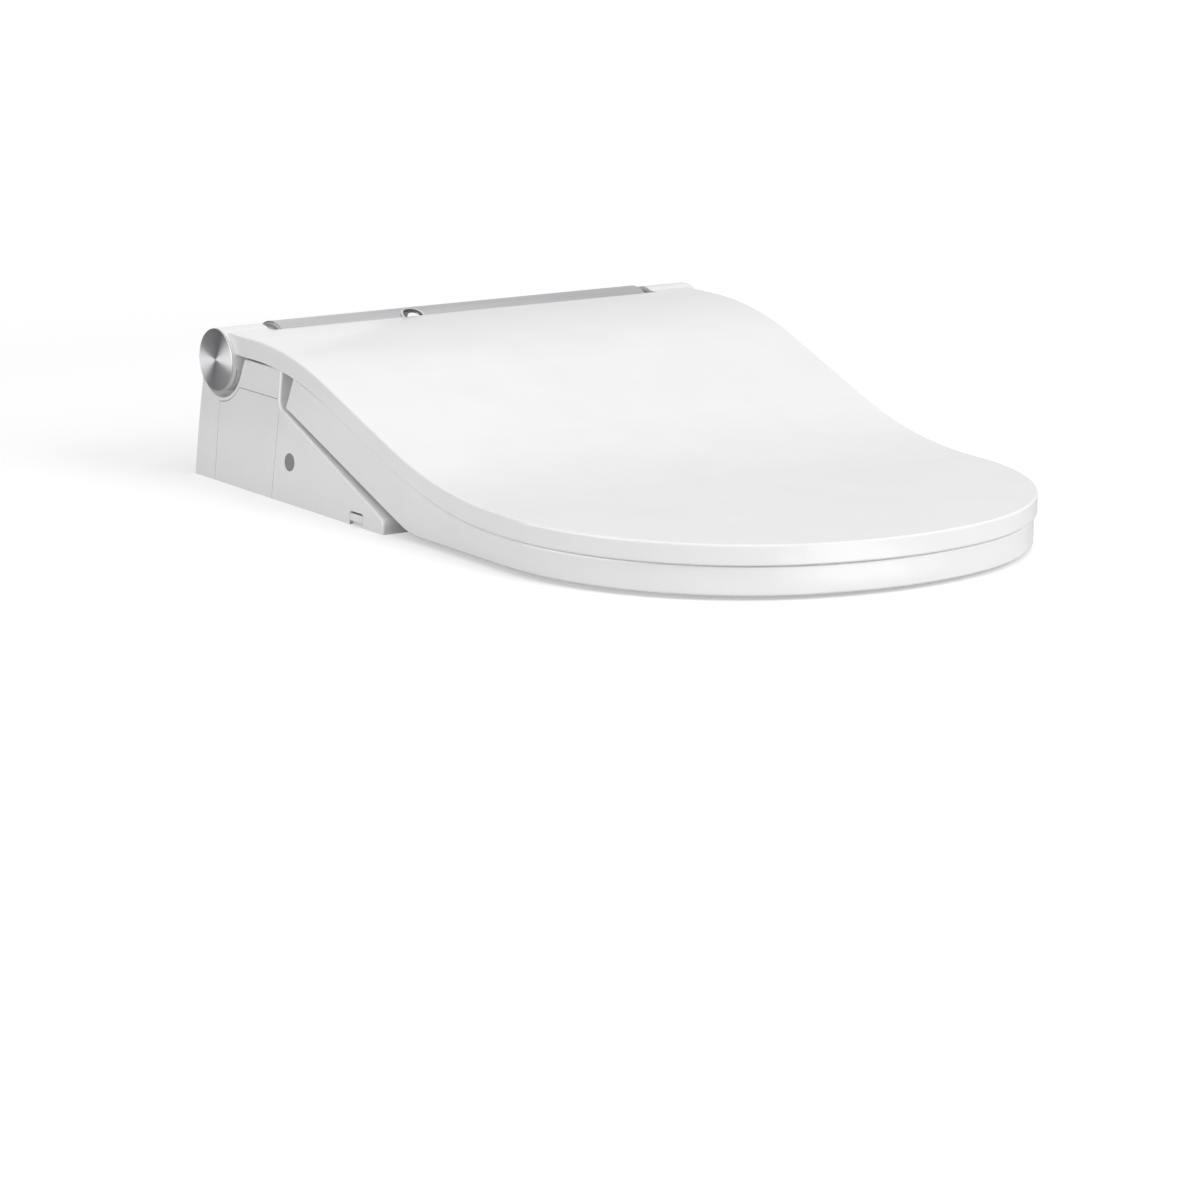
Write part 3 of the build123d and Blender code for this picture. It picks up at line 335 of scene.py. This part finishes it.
def seat_foot(high):
    """Pattern of one foot, along X, its top at Z 0."""
    bpy.ops.object.select_all(action="DESELECT")
    bpy.ops.mesh.primitive_cube_add(size=1, location=(0, 0, -high / 2),
                                    scale=(FOOT_LONG, FOOT_WIDE, high))
    foot = start_piece("foot")
    pick_upright_edges(foot)
    bpy.ops.mesh.bevel(offset=FOOT_CORNER, segments=12)
    bpy.ops.mesh.select_all(action="SELECT")
    bpy.ops.mesh.remove_doubles(threshold=FOOT_MERGE)
    pick_faces(foot, lambda face: face.normal.z < -0.9)
    soften_rim(FOOT_EDGE, 4)
    pick_faces(foot, lambda face: face.normal.z < -0.99)
    bpy.ops.mesh.inset(thickness=GROOVE_IN)
    bpy.ops.mesh.inset(thickness=GROOVE_SLOPE, depth=-GROOVE_DEEP)
    bpy.ops.mesh.inset(thickness=GROOVE_WIDE)
    bpy.ops.mesh.inset(thickness=GROOVE_SLOPE, depth=GROOVE_DEEP)
    return close_piece(foot)


feet = []
for x, b, turn in FEET:
    low, high = heights("seat_buffers", x * MM, fore(b), FOOT_REACH)
    pattern = seat_foot(high - low)
    feet += [copy_to(pattern, (hand * x * MM, fore(b), high), -hand * turn) for hand in (-1, 1)]
    drop(pattern)
dress(join_pieces("seat_feet", feet), buffer_tpe, "buffer_rubber", "seat", "seat_buffers")

# Rubber studs under the lid: a collar against the lid, a stem and a domed end
STUD_R, STUD_COLLAR_R, STUD_COLLAR, STUD_REACH = 4.2 * MM, 5.0 * MM, 2.4 * MM, 7 * MM
STUD_DOME = 0.55 * STUD_R
STUDS = ((150.0, 310.0), (62.0, 497.0))


def lid_stud(high):
    """Pattern of one stud, its top at Z 0."""
    bpy.ops.object.select_all(action="DESELECT")
    bpy.ops.mesh.primitive_cylinder_add(vertices=40, radius=STUD_COLLAR_R, depth=STUD_COLLAR,
                                        location=(0, 0, -STUD_COLLAR / 2))
    stud = start_piece("stud")
    pick_faces(stud, lambda face: face.normal.z < -0.9)
    bpy.ops.mesh.inset(thickness=STUD_COLLAR_R - STUD_R)
    bpy.ops.mesh.extrude_region_move(TRANSFORM_OT_translate={"value": (0, 0, STUD_COLLAR - high)})
    soften_rim(STUD_DOME, 7)
    return close_piece(stud)


studs = []
for x, b in STUDS:
    low, high = heights("lid_buffers", x * MM, fore(b), STUD_REACH)
    pattern = lid_stud(high - low)
    studs += [copy_to(pattern, (hand * x * MM, fore(b), high)) for hand in (-1, 1)]
    drop(pattern)
dress(join_pieces("lid_studs", studs), buffer_tpe, "buffer_rubber", "lid", "lid_buffers")

# Pan-head screws with a cross recess: those of the seat's plate and those of the bottom case
SCREW_R, SCREW_HIGH = 3.3 * MM, 1.9 * MM
SCREW_ROUND, SCREW_TURN = 0.55 * SCREW_HIGH, 40.0
CROSS_LONG, CROSS_WIDE, CROSS_DEEP = 3.4 * MM, 0.8 * MM, 1.1 * MM
SEAT_SCREWS = ((0.0, 503.0), (86.0, 478.0), (148.0, 384.0), (150.0, 276.0))
CASE_SCREWS = ((168.0, 96.0), (168.0, 22.0), (128.0, 128.0))
# The seat plate's underside bends at this place and height, in millimetres, and falls to the front
PLATE_BEND_B, PLATE_BEND_Z = 254.5, 4.3
PLATE_FALL = 1.0 / 290.5


def screw_head():
    """Pattern of one head, facing down, its seat at Z 0."""
    bpy.ops.object.select_all(action="DESELECT")
    bpy.ops.mesh.primitive_cylinder_add(vertices=36, radius=SCREW_R, depth=SCREW_HIGH,
                                        location=(0, 0, -SCREW_HIGH / 2))
    head = start_piece("screw")
    pick_faces(head, lambda face: face.normal.z < -0.9)
    soften_rim(SCREW_ROUND, 5)
    close_piece(head)
    for turn in (0, 90):
        bpy.ops.object.select_all(action="DESELECT")
        bpy.ops.mesh.primitive_cube_add(size=1, location=(0, 0, -SCREW_HIGH),
                                        rotation=(0, 0, math.radians(turn)),
                                        scale=(CROSS_LONG, CROSS_WIDE, 2 * CROSS_DEEP))
        cut_away(head, start_piece("cross"))
    return head


def plate_underside(b):
    """Height of the seat plate's underside, in front of its bend."""
    return (PLATE_BEND_Z - (b - PLATE_BEND_B) * PLATE_FALL) * MM


case_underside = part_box("bottom_case")[0][2]
pattern = screw_head()
for name, body, places in (("seat_screws", "seat", SEAT_SCREWS), ("case_screws", "base", CASE_SCREWS)):
    heads = []
    for x, b in places:
        z = plate_underside(b) if body == "seat" else case_underside
        for hand in (-1, 1) if x else (1,):
            heads.append(copy_to(pattern, (hand * x * MM, fore(b), z), b + SCREW_TURN * hand))
    dress(join_pieces(name, heads), ground_steel, "shaft_steel", body)
drop(pattern)

# Water inlet: a flange, a bored spigot and a half-inch pipe thread
THREAD_PITCH, THREAD_TURNS, THREAD_STEPS = 1.814 * MM, 6, 48
THREAD_CREST_R, THREAD_ROOT_R, INLET_BORE_R = 10.4 * MM, 9.3 * MM, 7.0 * MM
FLANGE_THICK = 3.0 * MM
RIDGE_R = 0.65 * (THREAD_CREST_R - THREAD_ROOT_R)


def inlet_fitting():
    """Fitting that points to the back, in the place of its solid."""
    low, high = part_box("water_inlet")
    x, z = (low[0] + high[0]) / 2, (low[2] + high[2]) / 2
    flange_r = (high[0] - low[0]) / 2
    back, front = high[1], low[1]
    bpy.ops.object.select_all(action="DESELECT")
    bpy.ops.mesh.primitive_cylinder_add(vertices=64, radius=flange_r, depth=FLANGE_THICK,
                                        location=(x, front + FLANGE_THICK / 2, z),
                                        rotation=(math.radians(90), 0, 0))
    body = start_piece("inlet_body")
    pick_faces(body, lambda face: face.normal.y > 0.9)
    bpy.ops.mesh.inset(thickness=flange_r - THREAD_ROOT_R)
    spigot = back - front - FLANGE_THICK
    bpy.ops.mesh.extrude_region_move(TRANSFORM_OT_translate={"value": (0, spigot, 0)})
    bpy.ops.mesh.inset(thickness=THREAD_ROOT_R - INLET_BORE_R)
    bpy.ops.mesh.extrude_region_move(TRANSFORM_OT_translate={"value": (0, -spigot, 0)})
    close_piece(body)
    bpy.ops.object.select_all(action="DESELECT")
    bpy.ops.mesh.primitive_circle_add(vertices=6, radius=RIDGE_R,
                                      location=(x, front + FLANGE_THICK + RIDGE_R, z))
    ridge = bpy.context.object
    bpy.ops.object.mode_set(mode="EDIT")
    bpy.ops.mesh.select_all(action="SELECT")
    bpy.ops.transform.translate(value=(THREAD_CREST_R - RIDGE_R, 0, 0))
    bpy.ops.object.mode_set(mode="OBJECT")
    wind = ridge.modifiers.new("thread", "SCREW")
    wind.axis = "Y"
    wind.screw_offset = THREAD_PITCH
    wind.iterations = THREAD_TURNS
    wind.steps = wind.render_steps = THREAD_STEPS
    bpy.ops.object.modifier_apply(modifier=wind.name)
    start_piece("ridge")
    bpy.ops.object.mode_set(mode="EDIT")
    bpy.ops.mesh.select_mode(type="EDGE")
    bpy.ops.mesh.select_all(action="DESELECT")
    bpy.ops.mesh.select_non_manifold()
    bpy.ops.mesh.fill_holes(sides=0)
    bpy.ops.mesh.select_all(action="SELECT")
    bpy.ops.mesh.normals_make_consistent(inside=False)
    close_piece(ridge)
    return join_pieces("inlet_fitting", [body, ridge])


dress(inlet_fitting(), inner_nylon, "inner_plastic", "base", "water_inlet")

# Slats across the odour intake, seated in the curved front wall
INTAKE_X, INTAKE_Z = (56.0, 70.0), (11.0, 19.0)
SLATS, SLAT_WIDE, SLAT_DEEP, SLAT_SEAT = 4, 1.2 * MM, 2.0 * MM, 0.2
SLAT_ROUND = 0.4 * SLAT_WIDE
# The front wall is part of an ellipse: its middle forward of the back face, half its axes, its thickness
WALL_MIDDLE_B, WALL_HALF, WALL_THICK = 330.0, (140.0, 160.0), 2.5


def intake_slat():
    """Pattern of one slat, upright, with rounded edges."""
    high = (INTAKE_Z[1] - INTAKE_Z[0] + 2 * SLAT_SEAT) * MM
    bpy.ops.object.select_all(action="DESELECT")
    bpy.ops.mesh.primitive_cube_add(size=1, scale=(SLAT_WIDE, SLAT_DEEP, high))
    slat = start_piece("slat")
    pick_upright_edges(slat)
    bpy.ops.mesh.bevel(offset=SLAT_ROUND, segments=4)
    return close_piece(slat)


pattern = intake_slat()
slats = []
for step in range(SLATS):
    x = INTAKE_X[0] + (INTAKE_X[1] - INTAKE_X[0]) * (step + 1) / (SLATS + 1)
    wall_b = WALL_MIDDLE_B - WALL_HALF[1] * math.sqrt(1 - (x / WALL_HALF[0]) ** 2) - WALL_THICK / 2
    slats.append(copy_to(pattern, (x * MM, fore(wall_b), sum(INTAKE_Z) / 2 * MM)))
drop(pattern)
dress(join_pieces("intake_slats", slats), white_abs, "white_plastic", "base")

# Seals on the ends of the barrel: a flange against the strip's end and a sleeve round the step beside it.
# Their grey rubber is partly painted shade: it stands in for the shade in the gap by the strip's end.
SEAL_FROM, SEAL_FLANGE, SEAL_SLEEVE = 149.45 * MM, 0.6 * MM, 3.8 * MM
SEAL_FLANGE_R, SEAL_SLEEVE_R, SEAL_BORE_R = 21.3 * MM, 18.95 * MM, 18.65 * MM


def barrel_seal_and_gap_shade(hand):
    """Seal on one hand, round the hinge axis; its grey stands in for the shade in the gap there."""
    place = (hand * (SEAL_FROM + SEAL_FLANGE / 2), HINGE_Y, HINGE_Z)
    along_x = (0, math.radians(90), 0)
    bpy.ops.object.select_all(action="DESELECT")
    bpy.ops.mesh.primitive_cylinder_add(vertices=96, radius=SEAL_FLANGE_R, depth=SEAL_FLANGE,
                                        location=place, rotation=along_x)
    seal = start_piece("seal")
    pick_faces(seal, lambda face: face.normal.x * hand > 0.9)
    bpy.ops.mesh.inset(thickness=SEAL_FLANGE_R - SEAL_SLEEVE_R)
    bpy.ops.mesh.extrude_region_move(TRANSFORM_OT_translate={"value": (hand * SEAL_SLEEVE, 0, 0)})
    close_piece(seal)
    bpy.ops.object.select_all(action="DESELECT")
    bpy.ops.mesh.primitive_cylinder_add(vertices=96, radius=SEAL_BORE_R, depth=4 * SEAL_SLEEVE,
                                        location=place, rotation=along_x)
    cut_away(seal, start_piece("bore"))
    return seal


seals_and_gap_shade = [barrel_seal_and_gap_shade(hand) for hand in (-1, 1)]
# The seals' grey rubber is painted shade for the gaps at the strip's ends, as well as a seal.
dress(join_pieces("barrel_seals_and_gap_shade", seals_and_gap_shade), buffer_tpe, "buffer_rubber", "base")

# Floor: pale and plain, shaded by the object. To the camera it glows, and more so far from the object, so
# that it ends as white as the room.
FLOOR_SIZE = 40
GLOW_FROM, GLOW_TO = 0.5, 1.6
GLOW_NEAR, GLOW_FAR = 0.44, 0.68
bpy.ops.object.select_all(action="DESELECT")
bpy.ops.mesh.primitive_plane_add(size=FLOOR_SIZE)
floor = bpy.context.object
floor.name = "floor"
floor_paint, tree = start_material("matt_white_floor")
rays = put(tree, "LightPath")
matt = put(tree, "BsdfDiffuse", {"Color": linear("#d2d2d2")})
away = put(tree, "VectorMath", {0: object_point(tree)}, operation="LENGTH")
fade = put(tree, "MapRange", {"Value": away.outputs["Value"], "From Min": GLOW_FROM, "From Max": GLOW_TO,
                              "To Min": GLOW_NEAR, "To Max": GLOW_FAR})
glow = put(tree, "Emission", {"Color": (1, 1, 1, 1), "Strength": fade.outputs["Result"]})
lift = put(tree, "AddShader", {0: matt.outputs[0], 1: glow.outputs[0]})
seen = put(tree, "MixShader", {"Fac": rays.outputs["Is Camera Ray"], 1: matt.outputs[0],
                               2: lift.outputs[0]})
close_material(tree, seen)
floor.data.materials.append(floor_paint)

# Light: a white room that lights less than it shows, and soft lamps in front, above and at the left that
# stay out of reflections
ROOM_LIGHT, ROOM_SHOWN = 0.57, 1.0
world = bpy.data.worlds.new("white_room")
bpy.context.scene.world = world
world.use_nodes = True
sky = world.node_tree
sky.nodes.clear()
rays = put(sky, "LightPath")
shown = put(sky, "Math", {0: rays.outputs["Is Camera Ray"], 1: rays.outputs["Is Glossy Ray"]},
            operation="MAXIMUM")
shown = put(sky, "Math", {0: shown.outputs[0], 1: rays.outputs["Is Transmission Ray"]}, operation="MAXIMUM")
level = put(sky, "MapRange", {"Value": shown.outputs[0], "To Min": ROOM_LIGHT, "To Max": ROOM_SHOWN})
room = put(sky, "Background", {"Color": (1, 1, 1, 1), "Strength": level.outputs["Result"]})
put(sky, "OutputWorld", {"Surface": room.outputs[0]})


def lamp(name, place, target, size, watts):
    """Soft area lamp, aimed at a point."""
    data = bpy.data.lights.new(name, "AREA")
    data.shape = "RECTANGLE"
    data.size, data.size_y = size
    data.energy = watts
    made = bpy.data.objects.new(name, data)
    bpy.context.scene.collection.objects.link(made)
    made.location = place
    made.visible_glossy = False
    made.rotation_euler = (Vector(target) - Vector(place)).to_track_quat("-Z", "Y").to_euler()


LID_MIDDLE, LEFT_SIDE = (0, -0.2, 0.05), (-0.19, -0.1, 0.06)
lamp("lamp_front", (1.2, -3.1, 2.0), LID_MIDDLE, (1.8, 1.8), 60)
lamp("lamp_above", (0.1, -1.4, 2.8), LID_MIDDLE, (1.6, 1.6), 14)
lamp("lamp_left", (-2.5, -0.5, 0.45), LEFT_SIDE, (1.0, 0.8), 13)


def flag(name, corners, grey):
    """Grey studio card that shows in reflections only."""
    bpy.ops.object.select_all(action="DESELECT")
    bpy.ops.mesh.primitive_plane_add(size=1)
    card = bpy.context.object
    card.name = name
    for vertex, corner in zip(card.data.vertices, corners):
        vertex.co = corner
    paint, tree = start_material(name + "_paint")
    close_material(tree, put(tree, "Emission", {"Color": (grey, grey, grey, 1), "Strength": 1.0}))
    card.data.materials.append(paint)
    card.visible_camera = card.visible_diffuse = card.visible_shadow = False


def upright(start, end, high):
    """Corners of a card that stands on the floor along a line."""
    return [(*start, 0.0), (*end, 0.0), (*start, high), (*end, high)]


def lying(z, *corners):
    """Corners of a card that lies just above the floor."""
    return [(*corner, z) for corner in corners]


# Cards: pale at the right for the lid's flat front, bright at the left and dark behind for the hinge's cap,
# bright in front for the rounded front edges
LOW, ABOVE = 0.002, 0.003
DARK, PALE, LIT, CLEAR, BRIGHT = 0.08, 0.76, 1.6, 2.8, 3.6
flag("card_right", upright((0.5, -0.4), (0.5, 0.9), 0.7), PALE)
flag("card_left", upright((-1.45, -0.8), (-1.45, 0.8), 0.9), BRIGHT)
flag("card_left_low", lying(LOW, (-1.45, -0.8), (-1.45, 0.8), (-0.6, -0.3), (-0.6, 0.24)), BRIGHT)
flag("card_front", lying(LOW, (-0.14, -0.9), (0.14, -0.9), (-0.1, -0.5), (0.08, -0.5)), LIT)
flag("card_front_middle", lying(ABOVE, (-0.08, -0.9), (0.08, -0.9), (-0.06, -0.5), (0.03, -0.5)), CLEAR)
flag("card_side", upright((-1.4, 1.08), (-0.33, 1.62), 1.6), DARK)
flag("card_floor", lying(LOW, (-0.42, 0.24), (-0.22, 0.34), (-1.4, 1.08), (-0.33, 1.62)), DARK)

# Camera, at the photograph's angle and place; the focal length is in pixels of a square frame
CAMERA_PLACE = (-2.1995, -3.2407, 0.7801)
FOCAL_PX, FRAME_PX, SENSOR_MM = 5847, 1200, 36.0
YAW, PITCH, ROLL = (math.radians(a) for a in (35.361, 12.61, 1.144))
forward = Vector((math.sin(YAW) * math.cos(PITCH), math.cos(YAW) * math.cos(PITCH), -math.sin(PITCH)))
level_right = Vector((math.cos(YAW), -math.sin(YAW), 0))
level_up = level_right.cross(forward)
right = math.cos(ROLL) * level_right + math.sin(ROLL) * level_up
up = math.cos(ROLL) * level_up - math.sin(ROLL) * level_right
view = bpy.data.cameras.new("camera")
view.sensor_width = SENSOR_MM
view.lens = SENSOR_MM * FOCAL_PX / FRAME_PX
camera = bpy.data.objects.new("camera", view)
bpy.context.scene.collection.objects.link(camera)
turned = Matrix((right, up, -forward)).transposed().to_4x4()
camera.matrix_world = Matrix.Translation(CAMERA_PLACE) @ turned
bpy.context.scene.camera = camera
bpy.context.scene.view_settings.view_transform = "Standard"
